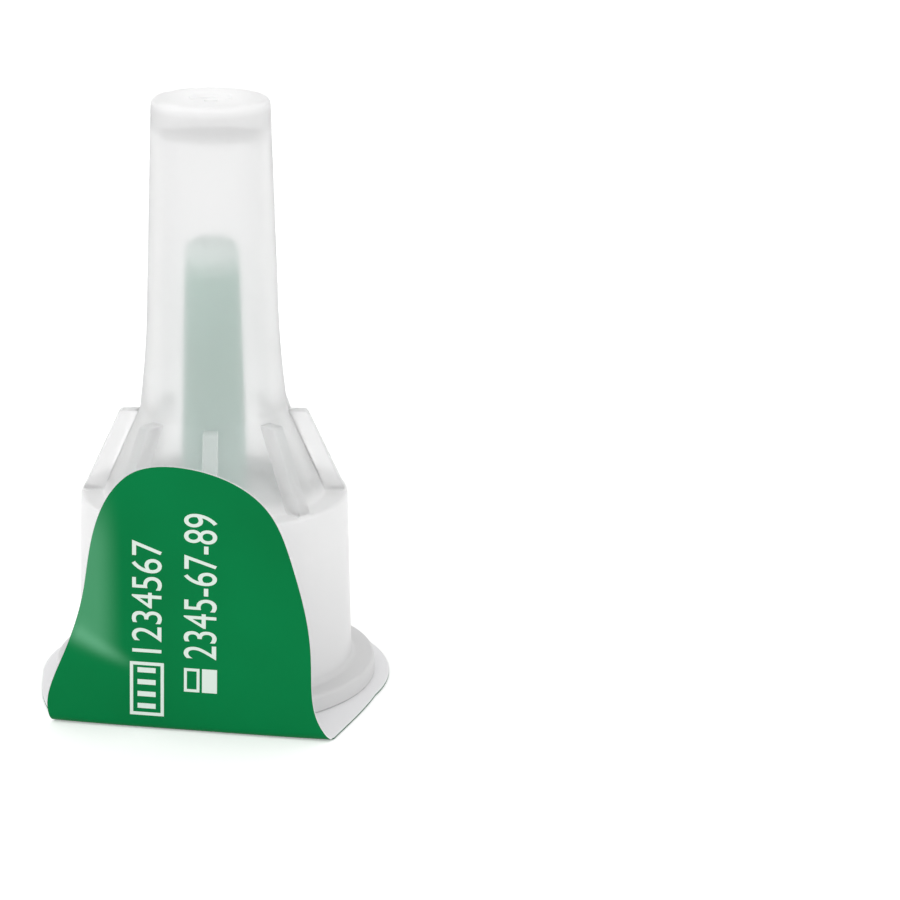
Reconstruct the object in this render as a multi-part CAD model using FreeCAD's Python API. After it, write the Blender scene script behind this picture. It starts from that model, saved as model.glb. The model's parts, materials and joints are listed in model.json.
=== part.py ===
import FreeCAD, Part
import math
import os

# A sealed pen needle, standing on its peel-off seal. Millimetres, +Z up.
# The needle's axis is Z, and the underside of the seal is z = 0. The seal's pull tab stands up in
# front, at -Y. Inside the outer cover, from the mouth upwards, sit the screw-on hub, the double-ended
# cannula with its adhesive bead, and the inner shield over the point that goes into the skin.

V = FreeCAD.Vector

# Hub: a ribbed cup with the cartridge bore, a shoulder and a nose with a glue well
HUB_BORE_R = 4.72            # to the root of the pen thread
HUB_WALL = 0.88              # cup between its ribs
HUB_RIB_H = 0.4
HUB_RIB_T = 0.75
HUB_RIB_COUNT = 24
HUB_RIB_LEAD = 0.35
HUB_MOUTH_GAP = 1.38         # from the seal to the cup's mouth
HUB_BORE_CHAMFER = 0.3
HUB_TOP_T = 1.0
HUB_STEP_R = 2.5             # round step on which the inner shield stands
HUB_STEP_H = 0.35
BOSS_R = 1.3                 # boss round the cannula inside the cup
BOSS_H = 1.3
NOSE_FOOT_R = 1.36
NOSE_TIP_R = 1.0
NOSE_H = 4.65
WELL_WALL = 0.4              # nose wall at the mouth of the glue well
WELL_TAPER = 0.18            # how much narrower the well's floor is
WELL_DEPTH = 1.1

# Outer cover: flange, skirt, ledge, finned shoulder and tube
HUB_FIT = 0.18               # clearance between the hub's ribs and the skirt at the ledge
SKIRT_WALL = 0.85
SKIRT_DRAFT = 0.22           # how much wider the skirt is at the flange than at the ledge
FLANGE_W = 1.25              # how far the flange stands out of the skirt
FLANGE_T = 0.95
FLANGE_EDGE = 0.2
FLANGE_ROOT = 0.25
LEDGE_Z = 10.3               # top of the ledge above the seal's underside
LEDGE_T = 0.85
LEDGE_W = 1.18               # from the skirt's edge to the foot of the shoulder cone
LEDGE_EDGE = 0.15
SHOULDER_TOP_R = 3.84
SHOULDER_TOP_Z = 14.85
SHOULDER_BLEND_R = 1.5       # between the cone and the tube
TUBE_WALL = 0.75
TUBE_TOP_R = 3.05            # outer radius at the closed end
TUBE_TAPER = math.radians(1.85)
FLARE_TURN_Z = 18.3          # height at which the tube's taper turns into its flare
FLARE_R = 90.0               # radius of that long turn
COVER_H = 31.2               # closed end above the seal's underside
END_WALL = 1.85
END_EDGE_R = 0.35
GATE_R = 1.1                 # shallow moulding gate recess in the closed end
GATE_DEPTH = 0.2
GATE_SLANT = 0.1
GATE_STUB_R = 0.35
GATE_STUB_H = 0.1

# Gripping fins, eight round the shoulder, and the drive ribs that stand behind them in the skirt
FIN_COUNT = 8
FIN_T = 0.75
FIN_FIRST = math.radians(-81.5)   # the fin nearest the front
FIN_TOP_DROP = 0.2           # from the cone's top down to the level top of the fins
FIN_CORNER_OUT = 1.06        # how far that level top runs out past the cone's top
FIN_CORNER_R = 0.3
FIN_FOOT_INSET = 0.06        # from the skirt's edge to the foot of a fin's slope
RIB_T = 0.5
RIB_FIT = 0.18               # clearance between a drive rib and the cup
RIB_START_GAP = 0.9          # how far above the cup's mouth the drive ribs start
RIB_LEAD = 0.9               # length of their sloped lower ends
WELD = 0.3                   # how deep fins and ribs run into the wall that carries them

# Inner shield: a slim closed sleeve
SHIELD_TOP_R = 1.38
SHIELD_TOP_Z = 23.85
SHIELD_FIT = 0.03            # clearance on the nose
SHIELD_WALL = 0.38
SHIELD_END_WALL = 0.6
SHIELD_ROUND = 0.95          # outside rounding of the closed end
SHIELD_EDGE = 0.1
SHIELD_GRIP_OVER = 0.4       # how far the wide lower bore runs on above the nose
SHIELD_BORE_STEP = 0.3       # height of the slope from the lower bore to the upper one
SHIELD_BORE_EDGE = 0.35

# Cannula: thin tube, ground to a point at both ends
CANNULA_R = 0.115
CANNULA_BORE_R = 0.06
CANNULA_OUT = 4.0            # length that stands out of the nose
CANNULA_TAIL = 5.6           # length below the cup's ceiling
CANNULA_FIT = 0.015          # clearance in the hub
BEVEL = math.radians(12)     # main grind, measured from the axis
SIDE_BEVEL = math.radians(18)
SIDE_TURN = math.radians(38)      # how far the two side grinds are turned about the axis
BEAD_RISE = 0.12             # the adhesive's crown above the nose

# Seal: a disc welded to the cover's flange, whose tongue turns up at a straight fold
SEAL_T = 0.12                # thickness of the film
SEAL_RIM = 0.77              # how far the disc stands out past the flange
FOLD_GAP = 0.28              # from the flange's edge to the upright tongue
FOLD_SKEW = math.radians(2.5)     # the fold was made a little askew, nearer to the flange at the left
FOLD_INNER_R = 0.25          # inside radius of the fold
FOLD_HALF_W = 7.2            # half the length of the fold
TAB_H = 14.15                # height of the tab's crown
TAB_CROWN_X = -0.5           # the crown leans a little to the left
TAB_EDGES = (                # height as a share of the crown's, left edge, right edge
    (0.08, -7.2, 6.95),
    (0.16, -6.95, 6.75),
    (0.30, -6.0, 6.6),
    (0.40, -5.6, 6.45),
    (0.60, -5.05, 5.9),
    (0.80, -4.25, 4.95),
    (0.93, -3.05, 3.15),
)

# Radii that follow, from the cartridge bore outwards
HUB_R = HUB_BORE_R + HUB_WALL
HUB_RIB_R = HUB_R + HUB_RIB_H
RIB_TIP_R = HUB_R + RIB_FIT
SKIRT_TOP_R = HUB_RIB_R + HUB_FIT + SKIRT_WALL
SKIRT_MOUTH_R = SKIRT_TOP_R + SKIRT_DRAFT
FLANGE_R = SKIRT_MOUTH_R + FLANGE_W
SEAL_R = FLANGE_R + SEAL_RIM
SHOULDER_FOOT_R = SKIRT_TOP_R - LEDGE_W
WELL_MOUTH_R = NOSE_TIP_R - WELL_WALL
CANNULA_HOLE_R = CANNULA_R + CANNULA_FIT
SHIELD_BORE_R = NOSE_FOOT_R + SHIELD_FIT

# Places that follow, from the seal upwards
COVER_Z = SEAL_T
HUB_Z = SEAL_T + HUB_MOUTH_GAP
RIB_START_Z = HUB_Z + RIB_START_GAP
LEDGE_UNDER_Z = LEDGE_Z - LEDGE_T
HUB_TOP_Z = LEDGE_UNDER_Z
CEILING_Z = HUB_TOP_Z - HUB_TOP_T
SHIELD_Z = HUB_TOP_Z + HUB_STEP_H
NOSE_TOP_Z = SHIELD_Z + NOSE_H
FIN_TOP_Z = SHOULDER_TOP_Z - FIN_TOP_DROP
CANNULA_TOP_Z = NOSE_TOP_Z + CANNULA_OUT
CANNULA_LOW_Z = CEILING_Z - CANNULA_TAIL
FOLD_Y = -(FLANGE_R + FOLD_GAP + SEAL_T)

# Slopes that follow
CONE_SLOPE = (SHOULDER_FOOT_R - SHOULDER_TOP_R) / (SHOULDER_TOP_Z - LEDGE_Z)
CONE_WALL = TUBE_WALL * math.hypot(1, CONE_SLOPE)
SKIRT_SLOPE = SKIRT_DRAFT / (LEDGE_Z - COVER_Z - FLANGE_T)

FULL_TURN = 360
ROUND, STEPPED, CHAMFER = "round", "stepped", "chamfer"
STEP_TURN = 0.55             # most that a stepped rounding turns from one flat to the next


def ease(kind, start, middle, end, turn):
    """Edges that ease one corner: an arc, an arc in a few straight steps, a chamfer or none."""
    if kind is None:
        return []
    if kind == CHAMFER:
        return [Part.LineSegment(start, end).toShape()]
    arc = Part.Arc(start, middle, end)
    if kind == ROUND:
        return [arc.toShape()]
    stops = arc.toShape().discretize(max(2, math.ceil(turn / STEP_TURN)) + 1)
    return [Part.LineSegment(p, q).toShape() for p, q in zip(stops, stops[1:])]


def eased_edges(corners):
    """Closed outline in the XZ plane. Each corner is (r, z) or (r, z, size, kind of ease)."""
    points = [V(c[0], 0, c[1]) for c in corners]
    starts, ends, eases = [], [], []
    for i, corner in enumerate(corners):
        here, before, after = points[i], points[i - 1], points[(i + 1) % len(points)]
        size, kind = corner[2:] if len(corner) > 2 else (0, None)
        back, ahead = before - here, after - here
        room = 0.48 * min(back.Length, ahead.Length)
        turn = math.pi - back.getAngle(ahead)
        back.normalize()
        ahead.normalize()
        # a rounding or chamfer takes at most its share of the shorter side
        reach = min(size if kind == CHAMFER else size * math.tan(turn / 2), room)
        start, end = here + back * reach, here + ahead * reach
        radius = reach / math.tan(turn / 2)
        middle = here + (back + ahead).normalize() * (radius / math.cos(turn / 2) - radius)
        starts.append(start)
        ends.append(end)
        eases.append(ease(kind, start, middle, end, turn))
    edges = []
    for i, corner_edges in enumerate(eases):
        edges += corner_edges
        edges.append(Part.LineSegment(ends[i], starts[(i + 1) % len(starts)]).toShape())
    return edges


def section(corners):
    """Flat face in the XZ plane inside an eased outline."""
    return Part.Face(Part.Wire(eased_edges(corners)))


def turned(corners):
    """Solid turned about Z from its half section."""
    return section(corners).revolve(V(0, 0, 0), V(0, 0, 1), FULL_TURN)


def radial_plate(corners, thickness, angle):
    """Plate that stands on a radius of the axis, from its outline in (r, z)."""
    plate = section(corners).extrude(V(0, thickness, 0))
    plate.translate(V(0, -thickness / 2, 0))
    plate.rotate(V(0, 0, 0), V(0, 0, 1), math.degrees(angle))
    return plate


def tube_r(z):
    """Outer radius of the straight-tapered tube, carried on to any height."""
    return TUBE_TOP_R + (COVER_H - z) * math.tan(TUBE_TAPER)


def skirt_r(z):
    """Outer radius of the skirt at a height."""
    return SKIRT_TOP_R + (LEDGE_Z - z) * SKIRT_SLOPE


def cone_r(z):
    """Outer radius of the shoulder cone, carried on to any height."""
    return SHOULDER_FOOT_R - (z - LEDGE_Z) * CONE_SLOPE


def fin_angles():
    """Angles of the fins, and of the drive ribs behind them."""
    return [FIN_FIRST + 2 * math.pi * i / FIN_COUNT for i in range(FIN_COUNT)]


def cover_shell():
    """Moulded wall of the cover, from the flange to the closed end, with its hollow."""
    flange_top = COVER_Z + FLANGE_T
    hollow_top = COVER_H - END_WALL
    gate_floor = COVER_H - GATE_DEPTH
    return turned((
        (skirt_r(COVER_Z) - SKIRT_WALL, COVER_Z),
        (FLANGE_R, COVER_Z, FLANGE_EDGE, CHAMFER),
        (FLANGE_R, flange_top, FLANGE_EDGE, CHAMFER),
        (SKIRT_MOUTH_R, flange_top, FLANGE_ROOT, CHAMFER),
        (SKIRT_TOP_R, LEDGE_Z, LEDGE_EDGE, CHAMFER),
        (SHOULDER_FOOT_R, LEDGE_Z, LEDGE_EDGE, CHAMFER),
        (SHOULDER_TOP_R, SHOULDER_TOP_Z, SHOULDER_BLEND_R, STEPPED),
        (tube_r(FLARE_TURN_Z), FLARE_TURN_Z, FLARE_R, ROUND),
        (TUBE_TOP_R, COVER_H, END_EDGE_R, STEPPED),
        (GATE_R, COVER_H),
        (GATE_R - GATE_SLANT, gate_floor),
        (GATE_STUB_R, gate_floor),
        (GATE_STUB_R, gate_floor + GATE_STUB_H),
        (0, gate_floor + GATE_STUB_H),
        (0, hollow_top),
        (tube_r(hollow_top) - TUBE_WALL, hollow_top),
        (tube_r(FLARE_TURN_Z) - TUBE_WALL, FLARE_TURN_Z),
        (SHOULDER_TOP_R - TUBE_WALL, SHOULDER_TOP_Z - TUBE_WALL * CONE_SLOPE),
        (cone_r(LEDGE_UNDER_Z) - CONE_WALL, LEDGE_UNDER_Z),
        (skirt_r(LEDGE_UNDER_Z) - SKIRT_WALL, LEDGE_UNDER_Z),
    ))


def fin(angle):
    """Outer fin: level top, rounded corner and a straight slope down to the skirt's edge."""
    foot_z = LEDGE_Z - WELD
    return radial_plate((
        (tube_r(FIN_TOP_Z) - WELD, FIN_TOP_Z),
        (SHOULDER_TOP_R + FIN_CORNER_OUT, FIN_TOP_Z, FIN_CORNER_R, ROUND),
        (SKIRT_TOP_R - FIN_FOOT_INSET, LEDGE_Z - LEDGE_EDGE),
        (SKIRT_TOP_R - WELD, foot_z),
        (cone_r(foot_z) - WELD, foot_z),
        (cone_r(SHOULDER_TOP_Z) - WELD, SHOULDER_TOP_Z - WELD),
    ), FIN_T, angle)


def drive_rib(angle):
    """Inner rib of the skirt, sloped at its lower end, that turns the hub by its ribs."""
    top_z = LEDGE_UNDER_Z + WELD
    lead_z = RIB_START_Z + RIB_LEAD
    return radial_plate((
        (RIB_TIP_R, top_z),
        (RIB_TIP_R, lead_z),
        (skirt_r(RIB_START_Z) - SKIRT_WALL, RIB_START_Z),
        (skirt_r(RIB_START_Z) - SKIRT_WALL + WELD, RIB_START_Z),
        (skirt_r(top_z) - SKIRT_WALL + WELD, top_z),
    ), RIB_T, angle)


def outer_cover():
    """One moulding: shell, fins and drive ribs."""
    plates = [fin(a) for a in fin_angles()] + [drive_rib(a) for a in fin_angles()]
    return cover_shell().multiFuse(plates).removeSplitter()


def hub_body():
    """Turned form of the hub, with its bore, boss, nose and glue well."""
    return turned((
        (HUB_BORE_R + HUB_BORE_CHAMFER, HUB_Z),
        (HUB_R, HUB_Z),
        (HUB_R, HUB_TOP_Z),
        (HUB_STEP_R, HUB_TOP_Z),
        (HUB_STEP_R, SHIELD_Z, SHIELD_EDGE, CHAMFER),
        (NOSE_FOOT_R, SHIELD_Z),
        (NOSE_TIP_R, NOSE_TOP_Z, SHIELD_EDGE, CHAMFER),
        (WELL_MOUTH_R, NOSE_TOP_Z),
        (WELL_MOUTH_R - WELL_TAPER, NOSE_TOP_Z - WELL_DEPTH),
        (CANNULA_HOLE_R, NOSE_TOP_Z - WELL_DEPTH),
        (CANNULA_HOLE_R, CEILING_Z - BOSS_H),
        (BOSS_R, CEILING_Z - BOSS_H),
        (BOSS_R, CEILING_Z),
        (HUB_BORE_R, CEILING_Z),
        (HUB_BORE_R, HUB_Z + HUB_BORE_CHAMFER),
    ))


def hub_rib(angle):
    """Outer rib of the hub, with a sloped lower end."""
    return radial_plate((
        (HUB_R - WELD, HUB_Z),
        (HUB_R, HUB_Z),
        (HUB_RIB_R, HUB_Z + HUB_RIB_LEAD),
        (HUB_RIB_R, HUB_TOP_Z),
        (HUB_R - WELD, HUB_TOP_Z),
    ), HUB_RIB_T, angle)


def needle_hub():
    """Hub with a full ring of ribs. Every drive rib of the cover stands midway between two."""
    pitch = 2 * math.pi / HUB_RIB_COUNT
    ribs = [hub_rib(FIN_FIRST + pitch * (i + 0.5)) for i in range(HUB_RIB_COUNT)]
    return hub_body().multiFuse(ribs).removeSplitter()


def grind(angle, turn, depth):
    """Block above one ground facet, which starts at a depth behind the tip and rises to its front."""
    size = 4.0
    block = Part.makeBox(size, size, size, V(-size / 2, 0, -size))
    block.rotate(V(0, 0, 0), V(1, 0, 0), 90 + math.degrees(angle))
    block.translate(V(0, CANNULA_R, -depth))
    block.rotate(V(0, 0, 0), V(0, 0, 1), math.degrees(turn))
    return block


def point_grinds():
    """Main grind and two side grinds, which meet at a tip at z = 0 on the -Y side."""
    main_depth = 2 * CANNULA_R / math.tan(BEVEL)
    side_depth = CANNULA_R * (1 + math.cos(SIDE_TURN)) / math.tan(SIDE_BEVEL)
    sides = [grind(SIDE_BEVEL, turn, side_depth) for turn in (-SIDE_TURN, SIDE_TURN)]
    return [grind(BEVEL, 0, main_depth)] + sides


def cannula():
    """Steel tube with a ground point at its upper end and a second one at its tail."""
    height = CANNULA_TOP_Z - CANNULA_LOW_Z
    low = V(0, 0, CANNULA_LOW_Z)
    tube = Part.makeCylinder(CANNULA_R, height, low).cut(Part.makeCylinder(CANNULA_BORE_R, height, low))
    for block in point_grinds():
        tail = block.copy()
        tail.rotate(V(0, 0, 0), V(1, 0, 0), 180)
        tail.translate(low)
        block.translate(V(0, 0, CANNULA_TOP_Z))
        tube = tube.cut(block).cut(tail)
    return tube


def adhesive_bead():
    """Cured adhesive that fills the well and climbs the cannula a little."""
    floor_z = NOSE_TOP_Z - WELL_DEPTH
    return turned((
        (CANNULA_R, floor_z),
        (WELL_MOUTH_R - WELL_TAPER, floor_z),
        (WELL_MOUTH_R, NOSE_TOP_Z),
        (CANNULA_R, NOSE_TOP_Z + BEAD_RISE),
    ))


def inner_shield():
    """Slim sleeve that grips the nose at its foot and closes over the point."""
    bore_top_z = SHIELD_TOP_Z - SHIELD_END_WALL
    grip_top_z = NOSE_TOP_Z + SHIELD_GRIP_OVER
    return turned((
        (SHIELD_BORE_R, SHIELD_Z),
        (SHIELD_BORE_R + SHIELD_WALL, SHIELD_Z, SHIELD_EDGE, CHAMFER),
        (SHIELD_TOP_R, SHIELD_TOP_Z, SHIELD_ROUND, STEPPED),
        (0, SHIELD_TOP_Z),
        (0, bore_top_z),
        (SHIELD_TOP_R - SHIELD_WALL, bore_top_z, SHIELD_BORE_EDGE, CHAMFER),
        (SHIELD_TOP_R - SHIELD_WALL, grip_top_z + SHIELD_BORE_STEP),
        (SHIELD_BORE_R, grip_top_z),
    ))


def askew(thing):
    """A point or shape of the tongue, turned with the fold about the fold's middle."""
    middle, up, degrees = V(0, FOLD_Y, 0), V(0, 0, 1), -math.degrees(FOLD_SKEW)
    if isinstance(thing, V):
        return middle + FreeCAD.Rotation(up, degrees).multVec(thing - middle)
    turned_thing = thing.copy()
    turned_thing.rotate(middle, up, degrees)
    return turned_thing


def touch_point(corner, side):
    """Where the tangent from a point outside the disc meets it: side 1 to the right, -1 to the left."""
    reach = math.acos(SEAL_R / math.hypot(corner.x, corner.y))
    angle = math.atan2(corner.y, corner.x) + side * reach
    return V(SEAL_R * math.cos(angle), SEAL_R * math.sin(angle), 0)


def seal_flat():
    """Disc of the seal, drawn out along its two tangents to the ends of the fold."""
    bend_y = FOLD_Y + FOLD_INNER_R + SEAL_T
    fold_right, fold_left = askew(V(FOLD_HALF_W, bend_y, 0)), askew(V(-FOLD_HALF_W, bend_y, 0))
    right, left = touch_point(fold_right, 1), touch_point(fold_left, -1)
    edges = [
        Part.Arc(right, V(0, SEAL_R, 0), left).toShape(),
        Part.LineSegment(left, fold_left).toShape(),
        Part.LineSegment(fold_left, fold_right).toShape(),
        Part.LineSegment(fold_right, right).toShape(),
    ]
    return Part.Face(Part.Wire(edges)).extrude(V(0, 0, SEAL_T))


def tongue_strip():
    """Fold and upright film, as wide as the seal, before its outline is cut."""
    centre = V(0, FOLD_Y + SEAL_T + FOLD_INNER_R, SEAL_T + FOLD_INNER_R)
    outer_r = FOLD_INNER_R + SEAL_T
    slant = math.sqrt(0.5)
    low_out, low_in = centre - V(0, 0, outer_r), centre - V(0, 0, FOLD_INNER_R)
    side_out, side_in = centre - V(0, outer_r, 0), centre - V(0, FOLD_INNER_R, 0)
    top_out, top_in = V(0, FOLD_Y, TAB_H), V(0, FOLD_Y + SEAL_T, TAB_H)
    edges = [
        Part.Arc(low_out, centre - V(0, outer_r * slant, outer_r * slant), side_out).toShape(),
        Part.LineSegment(side_out, top_out).toShape(),
        Part.LineSegment(top_out, top_in).toShape(),
        Part.LineSegment(top_in, side_in).toShape(),
        Part.Arc(side_in, centre - V(0, FOLD_INNER_R * slant, FOLD_INNER_R * slant), low_in).toShape(),
        Part.LineSegment(low_in, low_out).toShape(),
    ]
    strip = Part.Face(Part.Wire(edges)).extrude(V(2 * SEAL_R, 0, 0))
    strip.translate(V(-SEAL_R, 0, 0))
    return strip


def tab_outline():
    """Front outline of the fold and the tab, as a plate that the strip is cut to."""
    back_y = FOLD_Y - SEAL_T
    left = [V(-FOLD_HALF_W, back_y, 0)] + [V(e[1], back_y, e[0] * TAB_H) for e in TAB_EDGES]
    right = [V(FOLD_HALF_W, back_y, 0)] + [V(e[2], back_y, e[0] * TAB_H) for e in TAB_EDGES]
    curve = Part.BSplineCurve()
    curve.interpolate(left + [V(TAB_CROWN_X, back_y, TAB_H)] + right[::-1])
    foot = Part.LineSegment(right[0], left[0])
    plate = Part.Face(Part.Wire([curve.toShape(), foot.toShape()]))
    return plate.extrude(V(0, 2 * (FOLD_INNER_R + 2 * SEAL_T), 0))


def seal_label():
    """Seal in one piece: disc, fold and pull tab."""
    return seal_flat().fuse(askew(tongue_strip().common(tab_outline()))).removeSplitter()


PARTS = {
    "outer_cover": outer_cover,
    "inner_shield": inner_shield,
    "needle_hub": needle_hub,
    "cannula": cannula,
    "adhesive_bead": adhesive_bead,
    "seal_label": seal_label,
}


def main():
    """Build every piece and write it to its own file."""
    os.makedirs("parts", exist_ok=True)
    for name, build in PARTS.items():
        shape = build()
        solid = shape.Solids[0] if len(shape.Solids) == 1 else shape
        print(f"{name}: {len(shape.Solids)} solid, valid {shape.isValid()}, {shape.Volume:.3f} mm3")
        solid.exportStep(f"parts/{name}.step")


if __name__ == "__main__":
    main()
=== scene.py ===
"""Looks of a sealed pen needle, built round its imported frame.

The needle stands on its peel-off seal, whose green pull tab is folded up in front of it. The natural
plastic cover, the grey-green inner shield, the thread inside the hub, the seal and its print are
surfaces worked out on grids with numpy. The hub, the steel tube and its adhesive are carried over from
the frame and get their finishes here. Sizes in the classes are millimetres, in the frame's own axes.
"""

import json
import logging
from collections.abc import Iterable, Sequence
from dataclasses import dataclass
from enum import Enum

import bmesh
import bpy
import numpy as np
from mathutils import Matrix, Vector

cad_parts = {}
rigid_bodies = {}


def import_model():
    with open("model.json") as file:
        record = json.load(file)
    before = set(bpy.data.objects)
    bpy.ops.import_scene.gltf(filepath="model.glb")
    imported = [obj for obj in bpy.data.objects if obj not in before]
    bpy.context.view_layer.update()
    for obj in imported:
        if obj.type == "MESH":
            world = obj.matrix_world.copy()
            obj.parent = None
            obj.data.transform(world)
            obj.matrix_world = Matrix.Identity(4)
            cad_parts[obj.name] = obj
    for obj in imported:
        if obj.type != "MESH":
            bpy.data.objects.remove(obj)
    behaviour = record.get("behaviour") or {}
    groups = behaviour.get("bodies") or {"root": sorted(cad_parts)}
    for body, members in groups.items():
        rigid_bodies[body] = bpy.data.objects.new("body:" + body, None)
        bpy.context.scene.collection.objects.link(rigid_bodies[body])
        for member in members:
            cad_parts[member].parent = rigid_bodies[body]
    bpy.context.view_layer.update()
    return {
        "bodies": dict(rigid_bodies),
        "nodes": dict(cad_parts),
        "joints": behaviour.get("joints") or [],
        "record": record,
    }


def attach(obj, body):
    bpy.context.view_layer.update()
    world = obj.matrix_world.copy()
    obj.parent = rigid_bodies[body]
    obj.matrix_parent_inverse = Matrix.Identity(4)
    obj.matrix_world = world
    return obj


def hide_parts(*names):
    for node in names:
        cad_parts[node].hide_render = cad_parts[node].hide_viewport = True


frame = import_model()

LOG = logging.getLogger("pen_needle")
MM = 0.001
BODY = "root"
# name of the point value that puts painted sheen and a painted crease highlight on the print
PAINTED_SHEEN_MARK = "painted_sheen_mark"
MERGE = 2e-7            # points closer than this, in metres, become one
SLIVER = 1e-8           # edges shorter than this are taken out
SIDE_SHARE = 0.48       # most of a side that a rounded corner takes
STRAIGHT = 1e-4         # turns smaller than this, in radians, need no arc
RIM_STEPS = 5           # outlines across each half of a plate's rounded rim
MITRE_LEAST = 0.2       # keeps the shift of a rim within bounds at sharp corners

Grid = np.ndarray
Skin = tuple[Grid, list]
Corner = tuple[float, ...]
Color = tuple[float, float, float, float]
Box = tuple[float, float, float, float]
Socket = bpy.types.NodeSocket
Source = Socket | float | tuple[float, ...]


class Rim(Enum):
    """Whether the first and last lines of a grid meet."""

    OPEN = "open"
    JOINED = "joined"


def srgb(red: float, green: float, blue: float) -> Color:
    """Turn a colour read as 0 to 255 into the linear colour that a shader takes.

    Args:
        red: Red, 0 to 255.
        green: Green, 0 to 255.
        blue: Blue, 0 to 255.

    Returns:
        Linear red, green and blue, and an alpha of 1.
    """
    value = np.array([red, green, blue]) / 255
    linear = np.where(value <= 0.04045, value / 12.92, ((value + 0.055) / 1.055) ** 2.4)
    return (float(linear[0]), float(linear[1]), float(linear[2]), 1.0)


def grey(share: float) -> Color:
    """A grey of linear values, with alpha 1."""
    return share, share, share, 1.0


def smooth_step(low: float, high: float, value: Grid) -> Grid:
    """Rise from 0 at low to 1 at high as 3 t squared less 2 t cubed."""
    t = np.clip((value - low) / (high - low), 0, 1)
    return t * t * (3 - 2 * t)


def eased_profile(corners: list[Corner], steps: int = 6) -> Grid:
    """Round the corners of a half section.

    Each corner is (r, z) or (r, z, radius). A rounded corner becomes an arc that touches both of its
    sides, and takes no more than the side share of the shorter one.

    Args:
        corners: The corners, in order.
        steps: Straight steps in each arc.

    Returns:
        The points of the eased profile, as an array of (r, z).
    """
    points = np.array([c[:2] for c in corners], float)
    line = [points[0]]
    for before, corner, here, after in zip(points, corners[1:-1], points[1:], points[2:]):
        radius = corner[2] if len(corner) > 2 else 0
        back, ahead = before - here, after - here
        short = min(np.linalg.norm(back), np.linalg.norm(ahead))
        back, ahead = back / np.linalg.norm(back), ahead / np.linalg.norm(ahead)
        turn = np.pi - np.arccos(np.clip(back @ ahead, -1, 1))
        if radius == 0 or turn < STRAIGHT:
            line.append(here)
            continue
        reach = min(radius * np.tan(turn / 2), SIDE_SHARE * short)
        radius = reach / np.tan(turn / 2)
        inward = (back + ahead) / np.linalg.norm(back + ahead)
        centre = here + inward * radius / np.cos(turn / 2)
        first = here + back * reach - centre
        last = here + ahead * reach - centre
        side = np.sign(first[0] * last[1] - first[1] * last[0])
        angles = side * np.linspace(0, turn, steps + 1)
        cos, sin = np.cos(angles), np.sin(angles)
        arc = np.stack([first[0] * cos - first[1] * sin, first[0] * sin + first[1] * cos], axis=1)
        line.extend(centre + arc)
    line.append(points[-1])
    return np.array(line)


def grid_faces(rows: int, columns: int, across: Rim, along: Rim) -> Grid:
    """Four-sided faces of a grid of points.

    Args:
        rows: Points along the first direction.
        columns: Points along the second direction.
        across: Whether the last row meets the first.
        along: Whether the last column meets the first.

    Returns:
        The point numbers of each face.
    """
    i = np.arange(rows if across is Rim.JOINED else rows - 1)
    j = np.arange(columns if along is Rim.JOINED else columns - 1)
    i, j = (g.ravel() for g in np.meshgrid(i, j, indexing="ij"))
    here, down = i * columns, (i + 1) % rows * columns
    right = (j + 1) % columns
    return np.stack([here + j, down + j, down + right, here + right], axis=1)


def capped(rings: int, count: int) -> list:
    """Faces of a tube of closed rings, with a face over each end.

    Args:
        rings: How many rings there are.
        count: Points in each ring.

    Returns:
        The point numbers of each face.
    """
    faces = grid_faces(rings, count, Rim.OPEN, Rim.JOINED).tolist()
    last = (rings - 1) * count
    return faces + [list(range(count)), [last + k for k in range(count)][::-1]]


def make_mesh(name: str, points: Grid, faces: list, merge: float = MERGE,
              closed: bool = True) -> bpy.types.Mesh:
    """Put points and faces into a mesh, and close its seams and poles.

    Args:
        name: Name of the mesh.
        points: Points in millimetres.
        faces: Point numbers of each face.
        merge: Points closer than this, in metres, become one.
        closed: Whether the mesh is a closed skin, whose faces are then turned outwards.

    Returns:
        The mesh, in metres.
    """
    mesh = bpy.data.meshes.new(name)
    mesh.from_pydata((np.asarray(points).reshape(-1, 3) * MM).tolist(), [], faces)
    work = bmesh.new()
    work.from_mesh(mesh)
    bmesh.ops.remove_doubles(work, verts=work.verts, dist=merge)
    bmesh.ops.dissolve_degenerate(work, edges=work.edges, dist=SLIVER)
    if closed:
        bmesh.ops.recalc_face_normals(work, faces=work.faces)
    work.to_mesh(mesh)
    work.free()
    return mesh


def polar(r: Grid, angle: Grid, z: Grid) -> Grid:
    """Points at a radius, an angle and a height: x = r cos a, y = r sin a."""
    return np.stack(np.broadcast_arrays(r * np.cos(angle), r * np.sin(angle), z), axis=-1)


def turned(name: str, profile: Grid, rim: Rim, segments: int = 160) -> bpy.types.Mesh:
    """Turn a profile about the axis.

    Args:
        name: Name of the mesh.
        profile: Points (r, z) in millimetres.
        rim: JOINED where the profile is a loop, OPEN where both of its ends lie on the axis.
        segments: Steps round the axis.

    Returns:
        The closed mesh.
    """
    angle = np.linspace(0, 2 * np.pi, segments, endpoint=False)
    points = polar(profile[:, :1], angle, profile[:, 1:])
    return make_mesh(name, points, grid_faces(len(profile), segments, rim, Rim.JOINED).tolist())


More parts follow.
